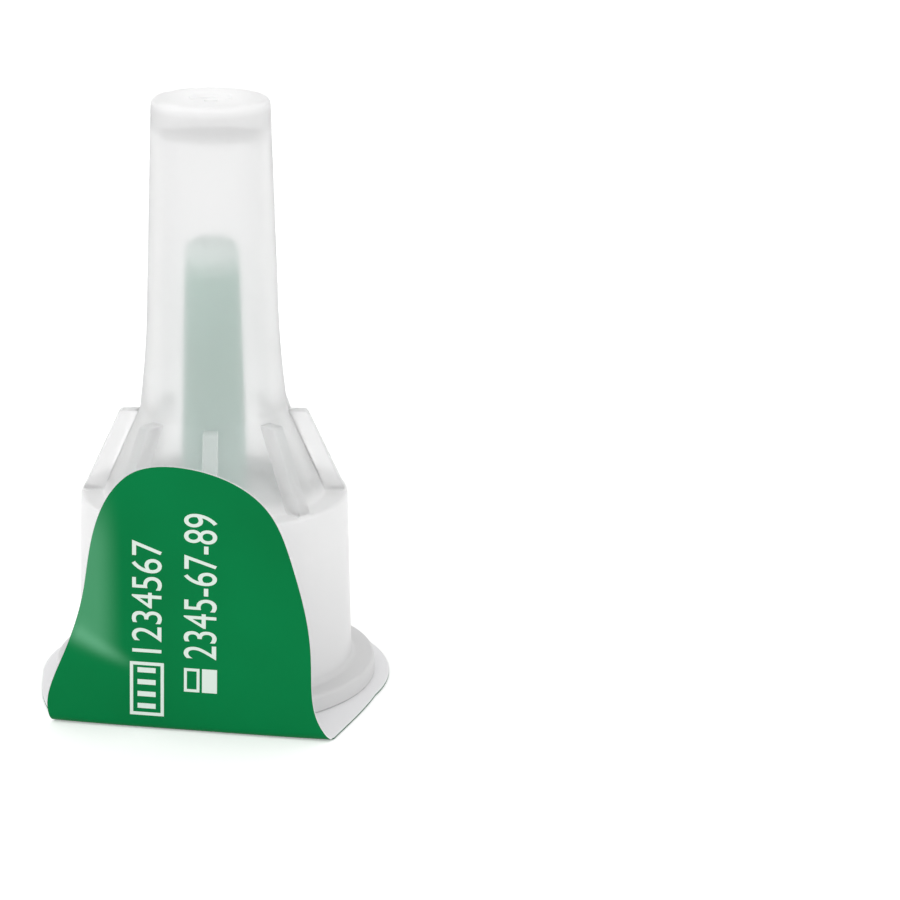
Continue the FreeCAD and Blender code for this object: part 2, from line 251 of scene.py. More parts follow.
def plate(outline: Grid, thickness: float, angle: float, edge: float, free: Grid) -> Skin:
    """Plate on a radius of the axis, with the free part of its rim rounded off.

    The outline is repeated at steps across the thickness. Within the rim the outline moves in by
    edge (1 - cos b) while the step lies edge sin b from where the rim begins.

    Args:
        outline: Closed outline as (r, z), in order.
        thickness: Thickness of the plate.
        angle: Angle of the plate about the axis.
        edge: Radius of the rim.
        free: True for the points of the outline that stand out of the wall.

    Returns:
        The points and the faces.
    """
    before, after = np.roll(outline, 1, axis=0), np.roll(outline, -1, axis=0)
    one, two = outline - before, after - outline
    one, two = (v / np.linalg.norm(v, axis=1, keepdims=True) for v in (one, two))
    middle = one + two
    middle = middle / np.linalg.norm(middle, axis=1, keepdims=True)
    half = np.sqrt(np.clip((1 + (one * two).sum(axis=1)) / 2, MITRE_LEAST, 1))[:, None]
    area = (outline[:, 0] * after[:, 1] - after[:, 0] * outline[:, 1]).sum()
    inward = np.stack([-middle[:, 1], middle[:, 0]], axis=1) * np.sign(area) / half
    inward = inward * free[:, None]
    bend = np.linspace(0, np.pi / 2, RIM_STEPS)
    shift = edge * (1 - np.cos(bend))
    place = thickness / 2 - edge + edge * np.sin(bend)
    shift = np.concatenate([shift[::-1], shift])
    place = np.concatenate([-place[::-1], place])
    rings = outline[None] + inward[None] * shift[:, None, None]
    r, z = rings[..., 0], rings[..., 1]
    across = place[:, None] + 0 * r
    cos, sin = np.cos(angle), np.sin(angle)
    points = np.stack([r * cos - across * sin, r * sin + across * cos, z], axis=-1)
    return points.reshape(-1, 3), capped(len(place), len(outline))


def places_of(mesh: bpy.types.Mesh) -> Grid:
    """Places of a mesh's points, one in each row.

    Args:
        mesh: The mesh.

    Returns:
        The places, in the mesh's own units.
    """
    places = np.empty(len(mesh.vertices) * 3)
    mesh.vertices.foreach_get("co", places)
    return places.reshape(-1, 3)


def joined(parts: list[Skin]) -> Skin:
    """Put several sets of points and faces into one.

    Args:
        parts: The sets.

    Returns:
        All their points, and their faces with the point numbers moved on.
    """
    points, faces, start = [], [], 0
    for part_points, part_faces in parts:
        points.append(part_points)
        faces.extend([[start + k for k in face] for face in part_faces])
        start += len(part_points)
    return np.concatenate(points), faces


def stand(name: str, data: bpy.types.ID) -> bpy.types.Object:
    """Put a new object into the scene.

    Args:
        name: Its name.
        data: Its mesh, text, light or camera.

    Returns:
        The object.
    """
    holder = bpy.data.objects.new(name, data)
    bpy.context.scene.collection.objects.link(holder)
    return holder


def worked_out(holder: bpy.types.Object) -> bpy.types.Mesh:
    """A new mesh of what an object looks like once its text or modifier is worked out."""
    return bpy.data.meshes.new_from_object(holder.evaluated_get(bpy.context.evaluated_depsgraph_get()))


def new_piece(mesh: bpy.types.Mesh, finishes: Sequence[bpy.types.Material],
              crisp: float = 35.0) -> bpy.types.Object:
    """Make a piece of a mesh, smooth but for its sharp edges, that rides on the one body.

    Args:
        mesh: Its mesh, in metres and in place, with the piece's name.
        finishes: Its materials.
        crisp: Angle in degrees above which an edge stays sharp.

    Returns:
        The piece.
    """
    mesh.shade_smooth()
    mesh.set_sharp_from_angle(angle=np.radians(crisp))
    mesh.materials.clear()
    for finish in finishes:
        mesh.materials.append(finish)
    piece = stand(mesh.name, mesh)
    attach(piece, BODY)
    LOG.info("%s: %d faces", piece.name, len(mesh.polygons))
    return piece


def united(name: str, base: bpy.types.Mesh, extra: bpy.types.Mesh) -> bpy.types.Mesh:
    """Join two closed meshes into one skin, without the walls that lie inside.

    Args:
        name: Name of the new mesh.
        base: The first mesh.
        extra: The second one.

    Returns:
        The joined mesh.
    """
    holders = [stand(mesh.name, mesh) for mesh in (base, extra)]
    union = holders[0].modifiers.new("union", "BOOLEAN")
    union.operation = "UNION"
    union.solver = "EXACT"
    union.use_self = False
    union.object = holders[1]
    mesh = worked_out(holders[0])
    mesh.name = name
    for holder in holders:
        bpy.data.objects.remove(holder)
    return mesh


class Wiring:
    """A node tree, with short calls that add nodes, set their inputs and link them."""

    def __init__(self, tree: bpy.types.NodeTree) -> None:
        """Take the tree."""
        self.tree = tree

    def feed(self, node: bpy.types.Node, inputs: dict[str | int, Source]) -> None:
        """Link inputs of a node, or set them.

        Args:
            node: The node.
            inputs: Inputs by name or number, each with a socket or a constant.
        """
        for key, value in inputs.items():
            if isinstance(value, Socket):
                self.tree.links.new(value, node.inputs[key])
            else:
                node.inputs[key].default_value = value

    def add(self, kind: str, inputs: dict[str | int, Source], **settings: str) -> bpy.types.Node:
        """Add a node.

        Args:
            kind: Kind of node, without the words that every kind begins with.
            inputs: Inputs by name or number, each with a socket or a constant.
            **settings: Settings that the node has before its inputs, such as its operation.

        Returns:
            The node.
        """
        node = self.tree.nodes.new("ShaderNode" + kind)
        for setting, value in settings.items():
            setattr(node, setting, value)
        self.feed(node, inputs)
        return node

    def math(self, operation: str, *values: Source) -> Socket:
        """Work out one operation on sockets or constants."""
        return self.add("Math", dict(enumerate(values)), operation=operation).outputs[0]

    def spread(self, share: Socket, low: float, high: float) -> Socket:
        """Carry a share from 0 to 1 over to a range."""
        return self.add("MapRange", {"Value": share, "To Min": low, "To Max": high}).outputs["Result"]

    def ramp(self, share: Socket, stops: Sequence[tuple[float, Color]]) -> Socket:
        """Colours along a share from 0 to 1.

        Args:
            share: The share.
            stops: Shares with their colours, in order, two at least.

        Returns:
            The socket with the colour.
        """
        colors = self.add("ValToRGB", {"Fac": share})
        elements = colors.color_ramp.elements
        for k, (place, color) in enumerate(stops):
            stop = elements[k] if k < 2 else elements.new(place)
            stop.position = place
            stop.color = color
        return colors.outputs["Color"]

    def mix(self, share: Source, one: Source, other: Source, data_type: str = "RGBA",
            blend_type: str = "MIX") -> Socket:
        """Mix two colours or values by a share."""
        inputs = {"Factor": share, "A": one, "B": other}
        return self.add("Mix", inputs, data_type=data_type, blend_type=blend_type).outputs["Result"]


class Finish(Wiring):
    """A new material: its shader, and patterns on the object's own coordinates."""

    def __init__(self, name: str, constants: dict[str | int, Source]) -> None:
        """Start the material.

        Args:
            name: Its name.
            constants: What the shader's own sockets are set to.
        """
        self.material = bpy.data.materials.new(name)
        self.material.use_nodes = True
        super().__init__(self.material.node_tree)
        self.shader = self.tree.nodes["Principled BSDF"]
        self.feed(self.shader, constants)
        self.place = self.add("TexCoord", {}).outputs["Object"]

    def height(self) -> Socket:
        """Height of a place, in metres."""
        return self.add("SeparateXYZ", {"Vector": self.place}).outputs["Z"]

    def noise(self, scale: float, detail: float = 2.0) -> Socket:
        """Cloudy noise from 0 to 1."""
        return self.add("TexNoise", {"Vector": self.place, "Scale": scale, "Detail": detail}).outputs["Fac"]

    def relief(self, pattern: Socket, depth: float, strength: float) -> None:
        """Let a pattern rise and fall in the shader's normals, its depth in metres."""
        bump = self.add("Bump", {"Height": pattern, "Distance": depth, "Strength": strength})
        self.feed(self.shader, {"Normal": bump.outputs["Normal"]})


@dataclass(frozen=True)
class Plastic:
    """Moulded plastic: its colour, how much light goes through, and the grain of its skin.

    Where colours are given by height, they tint the plastic and paint light and shade on it by height.
    Where places are given as (height, share of light let through), the thicker parts of the moulding are
    milkier than the thin ones.
    """

    name: str
    color: Color
    roughness: float
    transmission: float = 0.0
    ior: float = 1.49
    specular: float = 0.5
    roughness_play: float = 0.04
    grain_scale: float = 900.0
    cloud_share: float = 1 / 6
    grain_depth: float = 0.00002
    grain_strength: float = 0.5
    shade_spread: float = 0.03
    ramp_top: float = 32.0
    clear_at: tuple[tuple[float, float], ...] = ()
    tint_and_painted_light_at: tuple[tuple[float, Color], ...] = ()
    fin_clear: float = 0.0
    fin_cone: tuple[float, float] = (0.0, 0.0)      # slope, and radius carried down to height 0
    fin_span: tuple[float, float] = (0.0, 0.0)
    fin_proud: tuple[float, float] = (0.1, 0.4)

    def material(self) -> bpy.types.Material:
        """Build the material: one plastic shader with uneven roughness and a fine moulded grain.

        Returns:
            The material.
        """
        finish = Finish(self.name, {
            "Transmission Weight": self.transmission,
            "IOR": self.ior,
            "Specular IOR Level": self.specular,
        })
        cloud = finish.noise(self.grain_scale * self.cloud_share)
        low = (*(c * (1 - self.shade_spread) for c in self.color[:3]), 1.0)
        color = finish.ramp(cloud, ((0, low), (1, self.color)))
        height = finish.height()
        share = finish.math("DIVIDE", height, self.ramp_top * MM)
        # colours by height: the plastic's tint, with painted light and shade
        if self.tint_and_painted_light_at:
            color = finish.mix(1, finish.ramp(share, self.stops(self.tint_and_painted_light_at)), color, blend_type="MULTIPLY")
        play = self.roughness_play
        roughness = finish.spread(cloud, self.roughness - play, self.roughness + play)
        finish.feed(finish.shader, {"Base Color": color, "Roughness": roughness})
        if self.clear_at:
            clear = finish.ramp(share, self.stops((z, grey(through)) for z, through in self.clear_at))
            through = finish.mix(self.fin_share(finish, height), clear, self.fin_clear, data_type="FLOAT")
            finish.feed(finish.shader, {"Transmission Weight": through})
        finish.relief(finish.noise(self.grain_scale), self.grain_depth, self.grain_strength)
        return finish.material

    def stops(self, places: Iterable[tuple[float, Color]]) -> list[tuple[float, Color]]:
        """Heights with their colours, as shares of the ramp's top."""
        return [(height / self.ramp_top, color) for height, color in places]

    def fin_share(self, finish: Finish, height: Socket) -> Socket:
        """Share of a place in the fins, by how far it stands out of the shoulder's cone.

        Args:
            finish: The material that is being built.
            height: Height of the place.

        Returns:
            The socket with the share, from 0 to 1.
        """
        slope, foot = self.fin_cone
        low, high = self.fin_proud
        flat = finish.add("VectorMath", {0: finish.place, 1: (1, 1, 0)}, operation="MULTIPLY")
        radius = finish.add("VectorMath", {0: flat.outputs[0]}, operation="LENGTH").outputs["Value"]
        reach = finish.math("MULTIPLY_ADD", height, slope, radius)
        limits = {"From Min": (foot + low) * MM, "From Max": (foot + high) * MM}
        share = finish.add("MapRange", {"Value": reach, **limits}).outputs["Result"]
        for compare, limit in zip(("GREATER_THAN", "LESS_THAN"), self.fin_span):
            share = finish.math("MULTIPLY", share, finish.math(compare, height, limit * MM))
        return share


@dataclass(frozen=True)
class CutPaper:
    """White inner side of the seal, with a painted shadow in dark green along the bottom of its cut edge."""

    name: str = "cut_paper"
    white: Color = (0.87, 0.87, 0.88, 1.0)
    # painted shadow: dark green that stands in for the shade along the cut edge
    green: Color = srgb(20, 92, 60)
    edge_shadow_top: float = 0.07
    roughness: float = 0.6
    specular: float = 0.2
    fibre_scale: float = 1500.0
    fibre_detail: float = 4.0
    fibre_depth: float = 0.00003
    fibre_strength: float = 0.3

    def material(self) -> bpy.types.Material:
        """Build the material: fibrous white above the painted shadow's top, dark green painted shadow below
        it.

        Returns:
            The material.
        """
        finish = Finish(self.name, {"Roughness": self.roughness, "Specular IOR Level": self.specular})
        low = finish.math("LESS_THAN", finish.height(), self.edge_shadow_top * MM)
        finish.feed(finish.shader, {"Base Color": finish.mix(low, self.white, self.green)})
        fibre = finish.noise(self.fibre_scale, self.fibre_detail)
        finish.relief(fibre, self.fibre_depth, self.fibre_strength)
        return finish.material


@dataclass(frozen=True)
class DrawnSteel:
    """Drawn and polished steel tube, with fine lines along its length."""

    name: str = "drawn_steel"
    color: Color = (0.62, 0.63, 0.64, 1.0)
    roughness: tuple[float, float] = (0.16, 0.32)
    line_scale: tuple[float, float, float] = (30000, 30000, 400)

    def material(self) -> bpy.types.Material:
        """Build the material: metal whose roughness follows fine lines along the tube.

        Returns:
            The material.
        """
        finish = Finish(self.name, {"Base Color": self.color, "Metallic": 1.0})
        stretch = finish.add("Mapping", {"Vector": finish.place, "Scale": self.line_scale})
        lines = finish.add("TexNoise", {"Vector": stretch.outputs["Vector"], "Scale": 1.0})
        play = finish.spread(lines.outputs["Fac"], *self.roughness)
        finish.feed(finish.shader, {"Roughness": play})
        return finish.material


@dataclass(frozen=True)
class PrintedFilm:
    """Green print on the outside of the seal, lightened by a painted sheen where the film is bent."""

    name: str = "printed_film"
    deep: tuple[float, Color] = (0.3, srgb(0, 118, 62))
    green: tuple[float, Color] = (0.7, srgb(0, 126, 68))
    # painted sheen: light green that stands in for the reflection on the bent strip and the highlight on its
    # crease
    sheen_green: Color = srgb(104, 178, 136)
    cloud_scale: float = 140.0
    roughness: float = 0.36
    specular: float = 0.06
    ripple_scale: float = 260.0
    ripple_depth: float = 0.00004
    ripple_strength: float = 0.3

    def material(self) -> bpy.types.Material:
        """Build the material: uneven green, mixed towards a painted sheen green by the mesh's own painted
        sheen mark.

        Returns:
            The material.
        """
        finish = Finish(self.name, {"Roughness": self.roughness, "Specular IOR Level": self.specular})
        shades = finish.ramp(finish.noise(self.cloud_scale), (self.deep, self.green))
        bend = finish.add("Attribute", {}, attribute_name=PAINTED_SHEEN_MARK).outputs["Fac"]
        finish.feed(finish.shader, {"Base Color": finish.mix(bend, shades, self.sheen_green)})
        finish.relief(finish.noise(self.ripple_scale), self.ripple_depth, self.ripple_strength)
        return finish.material


@dataclass
class OuterCover:
    """Natural plastic cover: a turned wall with fins outside and drive ribs inside.

    Sizes whose names end in edge, root or blend are radii of rounded corners.
    """

    height: float = 31.2
    foot_z: float = 0.12
    flange_r: float = 8.5
    flange_t: float = 0.95
    flange_edge: float = 0.2
    flange_root: float = 0.3
    mouth_edge: float = 0.12
    mouth_inner_edge: float = 0.1
    skirt_mouth_r: float = 7.25
    skirt_top_r: float = 7.03
    skirt_wall: float = 0.85
    ledge_z: float = 10.3
    ledge_t: float = 0.84
    ledge_edge: float = 0.2
    ledge_inner_edge: float = 0.15
    shoulder_foot_r: float = 5.85
    shoulder_top_r: float = 3.84
    shoulder_top_z: float = 14.85
    shoulder_blend: float = 1.5
    tube_top_r: float = 3.05
    tube_taper: float = 0.03229
    tube_wall: float = 0.75
    flare_turn_z: float = 18.3
    flare_r: float = 90.0
    end_wall: float = 1.85
    end_edge: float = 0.35
    end_inner_edge: float = 0.3
    gate_r: float = 1.1
    gate_depth: float = 0.2
    gate_slant: float = 0.1
    gate_edge: float = 0.05
    stub_r: float = 0.35
    stub_h: float = 0.1
    stub_edge: float = 0.04
    fin_count: int = 8
    fin_t: float = 0.75
    fin_first: float = np.radians(-81.5)
    fin_drop: float = 0.2
    fin_out: float = 1.06
    fin_corner_edge: float = 0.3
    fin_inset: float = 0.06
    fin_dip: float = 0.1        # how far a fin's slope runs on below the ledge
    fin_foot_edge: float = 0.1
    fin_rim: float = 0.1
    rib_t: float = 0.5
    rib_tip_r: float = 5.78
    rib_start_z: float = 2.4
    rib_lead: float = 0.9
    rib_lead_edge: float = 0.2
    rib_rim: float = 0.08
    weld: float = 0.3           # how deep fins and ribs run into the wall that carries them

    def tube_r(self, z: float) -> float:
        """Outer radius of the tapered tube at a height."""
        return self.tube_top_r + (self.height - z) * np.tan(self.tube_taper)

    def cone_slope(self) -> float:
        """How much the shoulder's radius falls for each millimetre of height."""
        return (self.shoulder_foot_r - self.shoulder_top_r) / (self.shoulder_top_z - self.ledge_z)

    def cone_r(self, z: float) -> float:
        """Outer radius of the shoulder cone at a height."""
        return self.shoulder_foot_r - (z - self.ledge_z) * self.cone_slope()

    def skirt_r(self, z: float) -> float:
        """Outer radius of the skirt at a height, or of its taper carried on.

        Args:
            z: The height.

        Returns:
            The radius.
        """
        flange_top = self.foot_z + self.flange_t
        slope = (self.skirt_mouth_r - self.skirt_top_r) / (self.ledge_z - flange_top)
        return self.skirt_top_r + (self.ledge_z - z) * slope

    def wall(self) -> bpy.types.Mesh:
        """Turn the wall, from the closed end down the outside and back up the hollow.

        Returns:
            The closed mesh.
        """
        flange_top = self.foot_z + self.flange_t
        under = self.ledge_z - self.ledge_t
        hollow = self.height - self.end_wall
        gate_floor = self.height - self.gate_depth
        turn_r, turn_z = self.tube_r(self.flare_turn_z), self.flare_turn_z
        cone_wall = self.tube_wall * np.hypot(1, self.cone_slope())
        blend_z = self.shoulder_top_z - self.tube_wall * self.cone_slope()
        corners = [
            (0, gate_floor + self.stub_h),
            (self.stub_r, gate_floor + self.stub_h, self.stub_edge),
            (self.stub_r, gate_floor),
            (self.gate_r - self.gate_slant, gate_floor, self.gate_edge),
            (self.gate_r, self.height, self.gate_edge),
            (self.tube_top_r, self.height, self.end_edge),
            (turn_r, turn_z, self.flare_r),
            (self.shoulder_top_r, self.shoulder_top_z, self.shoulder_blend),
            (self.shoulder_foot_r, self.ledge_z, self.ledge_edge),
            (self.skirt_top_r, self.ledge_z, self.ledge_edge),
            (self.skirt_mouth_r, flange_top, self.flange_root),
            (self.flange_r, flange_top, self.flange_edge),
            (self.flange_r, self.foot_z, self.mouth_edge),
            (self.skirt_r(self.foot_z) - self.skirt_wall, self.foot_z, self.mouth_inner_edge),
            (self.skirt_r(under) - self.skirt_wall, under, self.ledge_inner_edge),
            (self.cone_r(under) - cone_wall, under, self.ledge_inner_edge),
            (self.shoulder_top_r - self.tube_wall, blend_z, self.shoulder_blend),
            (turn_r - self.tube_wall, turn_z, self.flare_r),
            (self.tube_r(hollow) - self.tube_wall, hollow, self.end_inner_edge),
            (0, hollow),
        ]
        return turned("cover_wall", eased_profile(corners), Rim.OPEN)

    def plates(self) -> bpy.types.Mesh:
        """Stand the fins and the drive ribs round the wall.

        Returns:
            One mesh of separate closed plates.
        """
        top_z = self.shoulder_top_z - self.fin_drop
        foot = self.ledge_z - self.weld
        fin = eased_profile([
            (self.tube_r(top_z) - self.weld, top_z),
            (self.shoulder_top_r + self.fin_out, top_z, self.fin_corner_edge),
            (self.skirt_top_r - self.fin_inset, self.ledge_z - self.fin_dip, self.fin_foot_edge),
            (self.skirt_top_r - self.weld, foot),
            (self.cone_r(foot) - self.weld, foot),
            (self.cone_r(self.shoulder_top_z) - self.weld, self.shoulder_top_z - self.weld),
        ])
        top = self.ledge_z - self.ledge_t + self.weld
        inner = self.skirt_r(self.rib_start_z) - self.skirt_wall
        rib = eased_profile([
            (self.skirt_r(top) - self.skirt_wall + self.weld, top),
            (self.rib_tip_r, top),
            (self.rib_tip_r, self.rib_start_z + self.rib_lead, self.rib_lead_edge),
            (inner, self.rib_start_z),
            (inner + self.weld, self.rib_start_z),
        ])
        angles = self.fin_first + np.arange(self.fin_count) * 2 * np.pi / self.fin_count
        fin_free = fin[:, 0] > np.array([self.cone_r(z) for z in fin[:, 1]])
        rib_free = rib[:, 0] < self.skirt_top_r - self.skirt_wall
        parts = [plate(fin, self.fin_t, angle, self.fin_rim, fin_free) for angle in angles]
        parts += [plate(rib, self.rib_t, angle, self.rib_rim, rib_free) for angle in angles]
        return make_mesh("cover_plates", *joined(parts))

    def build(self, finish: Plastic) -> bpy.types.Object:
        """Unite the wall and the plates, and dress them.

        Args:
            finish: The natural plastic.

        Returns:
            The piece that stands for the frame's cover.
        """
        mesh = united("natural_cover", self.wall(), self.plates())
        piece = new_piece(mesh, [finish.material()])
        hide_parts("outer_cover")
        return piece


@dataclass
class InnerShield:
    """Slim closed sleeve over the needle's point."""

    foot_z: float = 9.8
    foot_edge: float = 0.12
    foot_inner_edge: float = 0.08
    top_z: float = 23.85
    top_r: float = 1.38
    wall: float = 0.38
    end_wall: float = 0.6
    end_inner_edge: float = 0.4
    bore_r: float = 1.39
    bore_step: float = 0.3
    bore_step_edge: float = 0.1
    grip_top_z: float = 14.85
    dome_r: float = 0.95
    arc_steps: int = 10
    segments: int = 96

    def build(self, finish: Plastic) -> bpy.types.Object:
        """Turn the sleeve and dress it.

        Args:
            finish: The sleeve's plastic.

        Returns:
            The piece that stands for the frame's shield.
        """
        bore_top = self.top_z - self.end_wall
        upper = self.top_r - self.wall
        profile = eased_profile([
            (0, self.top_z),
            (self.top_r, self.top_z, self.dome_r),
            (self.bore_r + self.wall, self.foot_z, self.foot_edge),
            (self.bore_r, self.foot_z, self.foot_inner_edge),
            (self.bore_r, self.grip_top_z, self.bore_step_edge),
            (upper, self.grip_top_z + self.bore_step, self.bore_step_edge),
            (upper, bore_top, self.end_inner_edge),
            (0, bore_top),
        ], self.arc_steps)
        mesh = turned("shield_sleeve", profile, Rim.OPEN, self.segments)
        piece = new_piece(mesh, [finish.material()])
        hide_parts("inner_shield")
        return piece


@dataclass
class HubThread:
    """Right-hand ridge that winds up the hub's bore."""

    root_r: float = 4.72
    crest_r: float = 4.42
    pitch: float = 0.75
    low_z: float = 2.1
    high_z: float = 7.9
    bite: float = 0.05          # how deep the ridge's foot runs into the hub
    foot_half: float = 0.3      # half the ridge's width at its foot and crest, as shares of the pitch
    crest_half: float = 0.1
    least: float = 0.02         # share of its height with which the ridge starts
    turn_steps: int = 72

    def build(self, finish: Plastic) -> bpy.types.Object:
        """Carry the ridge's section along its helix.

        The path is a helix that rises by the pitch in each turn. The section is a blunt tooth. Its
        height grows from nothing to full in the first half turn, and fades in the last.

        Args:
            finish: The hub's plastic.

        Returns:
            The ridge.
        """
        turns = (self.high_z - self.low_z) / self.pitch
        angle = np.linspace(0, 2 * np.pi * turns, int(turns * self.turn_steps))
        fade = smooth_step(0, np.pi, angle) * smooth_step(0, np.pi, angle[-1] - angle)
        tooth = np.array([
            (0, -self.foot_half),
            (1, -self.crest_half),
            (1, self.crest_half),
            (0, self.foot_half),
        ])
        depth = (self.root_r - self.crest_r) * (self.least + (1 - self.least) * fade)[:, None]
        r = self.root_r + self.bite - (depth + self.bite) * tooth[:, 0]
        z = self.low_z + self.pitch * (angle / (2 * np.pi))[:, None] + self.pitch * tooth[:, 1]
        mesh = make_mesh("hub_thread", polar(r, angle[:, None], z), capped(*r.shape))
        return new_piece(mesh, [finish.material()])


@dataclass
class SealLabel:
    """Seal in one sheet: disc, fold and pull tab, green outside and white inside."""

    thickness: float = 0.11
    middle_z: float = 0.055
    middle_y: float = -8.83
    skew: float = 0.0448        # how much the fold and the tab are turned to the right
    disc_r: float = 9.27
    fold_r: float = 0.31
    fold_gain: float = 0.15     # how much wider the fold is at its ends
    fold_gain_power: int = 4
    bulge: float = 0.2          # how far the tangents' middles stand out
    crown_z: float = 14.15
    side_w: float = 4.757
    side_power: float = 8.293
    foot_w: float = 2.579
    foot_share: float = 0.945
    foot_power: float = 1.255
    centre_line: tuple[float, ...] = (-73.799, 194.311, -188.107, 78.342, -11.646, 0.397)
    crease_x: float = -3.5      # where the left strip starts to bend back
    crease_turn: float = 0.5
    crease_ease: float = 0.8
    crease_rise: tuple[float, float] = (-0.4, 2.6)
    crease_start: tuple[float, float] = (-5.55, 5.0)
    crease_run: tuple[float, float] = (2.5, 1.35)
    curl: float = 0.03          # light curl at the right of the crown
    curl_x: float = 3.5
    curl_rise: tuple[float, float] = (3.0, 9.0)
    # painted sheen on the bent strip and a painted highlight along its crease, placed by the fields below
    sheen_strip: float = 0.5
    sheen_strip_x: tuple[float, float] = (-3.0, -4.6)
    sheen_strip_off: tuple[float, float] = (-0.2, 0.9)
    sheen_strip_z: tuple[float, float] = (13.5, 9.5)
    crease_highlight: float = 0.8
    crease_highlight_w: float = 0.5
    crease_highlight_taper: float = 0.07
    crease_highlight_reach: float = 3.0
    crease_highlight_start: tuple[float, float] = (-0.9, 0.2)
    crease_highlight_end: tuple[float, float] = (3.9, 1.0)
    sheen_from: tuple[float, float] = (2.0, 1.0)     # how near to the tab's plane, and how high, the painted sheen starts
    columns: int = 121
    column_ease: float = 0.5    # how far the columns are drawn towards the two edges
    flat_rows: int = 70
    flat_ease: float = 0.6      # how far the rows are drawn towards the back of the disc
    shift_power: int = 8        # how late the rows move over to the fold's middle, and open out with it
    gain_power: int = 6
    fold_steps: int = 12
    tab_rows: int = 110
    merge: float = 5e-7

    @property
    def fold_half(self) -> float:
        """Half the length of the fold."""
        return self.side_w + self.foot_w

    @property
    def fold_shift(self) -> float:
        """How far the fold's middle lies to the right."""
        return self.centre_line[-1]

    def radius(self, x: Grid) -> Grid:
        """Middle radius of the fold, which opens out towards its two ends."""
        share = np.clip(np.abs(x) / self.fold_half, 0, 1)
        return self.fold_r + self.fold_gain * share**self.fold_gain_power

    def edges(self, z: Grid) -> tuple[Grid, Grid]:
        """Left and right edge of the tab at a height.

        With t the height's share of the crown's, the half width is the side width times the root
        of 1 less t to the side power, plus a foot that fades out at the foot share. The middle
        follows a curve of the fifth degree in t.

        Args:
            z: Heights.

        Returns:
            The left and the right edge.
        """
        t = np.clip(z / self.crown_z, 0, 1)
        half = self.side_w * np.sqrt(np.clip(1 - t**self.side_power, 0, 1))
        half = half + self.foot_w * np.clip(1 - t / self.foot_share, 0, 1) ** self.foot_power
        middle = np.polyval(self.centre_line, t)
        return middle - half, middle + half

    def crease_frame(self, x: Grid, z: Grid) -> tuple[Grid, Grid]:
        """Measure from the soft crease at the foot of the bent strip.

        Args:
            x: Places across.
            z: Heights.

        Returns:
            The distance along the crease, and the distance above it.
        """
        (start_x, start_z), (run, drop) = self.crease_start, self.crease_run
        length = np.hypot(run, drop)
        dx, dz = x - start_x, z - start_z
        return (dx * run - dz * drop) / length, (dx * drop + dz * run) / length

    def lean(self, x: Grid, z: Grid) -> Grid:
        """How far the tab stands back from its plane: bent strip at the left, light curls elsewhere.

        With d the distance past the bend, the strip goes back by the turn times d squared over d
        plus the ease, and comes in above the crease at its foot. The curl grows with the square of x.

        Args:
            x: Places across.
            z: Heights.

        Returns:
            Distances towards the cover.
        """
        past = np.clip(self.crease_x - x, 0, None)
        off = self.crease_frame(x, z)[1]
        strip = self.crease_turn * past**2 / (past + self.crease_ease) * smooth_step(*self.crease_rise, off)
        right = self.curl * np.clip(x - self.curl_x, 0, None) ** 2 * smooth_step(*self.curl_rise, z)
        return strip + right

    def middle(self, x: Grid, z: Grid) -> Grid:
        """Place of the tab's middle surface, front to back, on a plane turned a little to the right."""
        return self.middle_y - self.skew * x + self.lean(x, z)

    def plan(self, y: Grid) -> tuple[Grid, Grid]:
        """Plan of the seal's flat part: the disc, then its tangents to the fold's ends.

        Args:
            y: Places from back to front.

        Returns:
            The half width there, and how far along the tangents the place is, from 0 to 1.
        """
        bend_y = self.middle_y + self.fold_r
        corner = np.hypot(self.fold_half, bend_y)
        touch = np.arctan2(-bend_y, self.fold_half) - np.arccos(self.disc_r / corner)
        touch_x, touch_y = self.disc_r * np.cos(touch), -self.disc_r * np.sin(touch)
        disc = np.sqrt(np.clip(self.disc_r**2 - y**2, 0, None))
        share = np.clip((y - touch_y) / (bend_y - touch_y), 0, 1)
        line = touch_x + (self.fold_half - touch_x) * share + self.bulge * 4 * share * (1 - share)
        return np.where(share > 0, line, disc), share

    def surface(self) -> Grid:
        """Middle surface, row by row from the back of the disc, round the fold, to the crown.

        Returns:
            Points on a grid, rows by columns.
        """
        even = np.linspace(0, 1, self.columns)
        u = self.column_ease * (1 - np.cos(np.pi * even)) / 2 + (1 - self.column_ease) * even
        share = np.linspace(0, 1, self.flat_rows)
        swing = (1 - np.cos(share * np.pi / 2)) * self.flat_ease + share * (1 - self.flat_ease)
        flat_end = self.middle_y + self.fold_r
        y0 = (self.disc_r + (flat_end - self.disc_r) * swing)[:, None]
        half, tangent = self.plan(y0)
        shift, gain = (swing[:, None] ** power for power in (self.shift_power, self.gain_power))
        x = -half + 2 * half * u + self.fold_shift * shift
        y = y0 - self.skew * x * tangent + (self.radius(x) - self.fold_r) * gain
        flat = np.stack([x, y, np.full_like(x, self.middle_z)], axis=-1)
        turn = np.linspace(0, np.pi / 2, self.fold_steps + 1)[1:][:, None]
        r_mid = self.radius(-self.fold_half + 2 * self.fold_half * u)
        z = self.middle_z + r_mid * (1 - np.cos(turn))
        left, right = self.edges(z)
        x = left + (right - left) * u
        y = self.middle_y - self.skew * x + r_mid * (1 - np.sin(turn))
        fold = np.stack([x, y, z], axis=-1)
        rise = np.sin(np.linspace(0, np.pi / 2, self.tab_rows + 1)[1:])[:, None]
        start = z[-1]
        z = start + (self.crown_z - start) * rise
        left, right = self.edges(z)
        x = left + (right - left) * u
        y = self.middle(x, z)
        upright = np.stack([x, y, z], axis=-1)
        return np.concatenate([flat, fold, upright])

